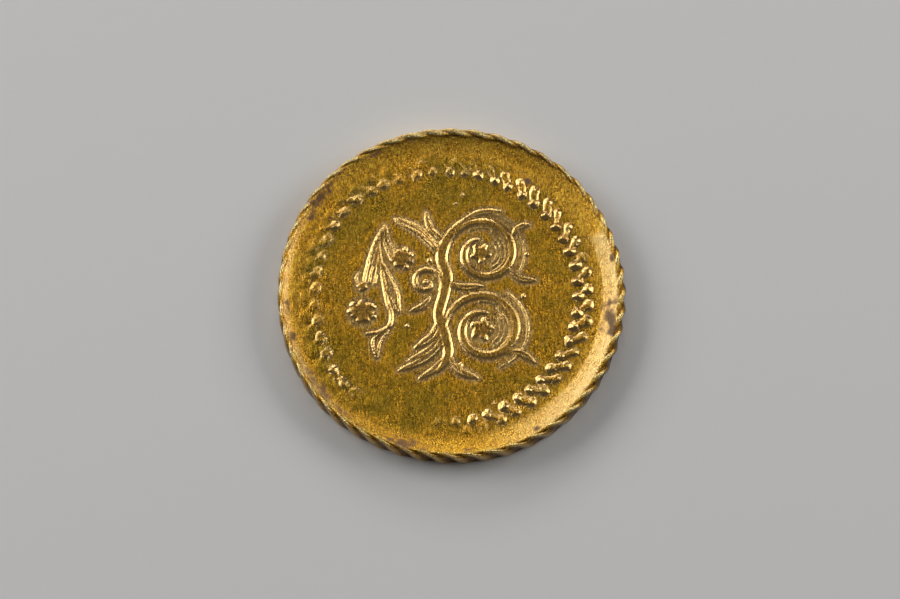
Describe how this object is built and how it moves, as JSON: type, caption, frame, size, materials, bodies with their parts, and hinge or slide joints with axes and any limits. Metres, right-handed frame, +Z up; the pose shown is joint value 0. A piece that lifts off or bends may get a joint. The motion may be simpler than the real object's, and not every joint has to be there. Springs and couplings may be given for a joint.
{
  "type": "gold coin",
  "caption": "Struck gold coin with a raised lip, a slanting rope edge, a ring of twisted links, and a flower sprig and scrolling vine in low relief on a recessed field.",
  "frame": {"origin": "centre of the underside, where the coin rests", "axes": "+Z up through the coin to the upper face; +Y towards the top of the sprig and vine; +X to the right of the upper face"},
  "size_m": [0.019, 0.019, 0.0013],
  "materials": {
    "gold": "satin gold alloy with toned hollows and hairline scratches"
  },
  "bodies": {
    "root": {"coin": "gold"}
  },
  "joints": []
}
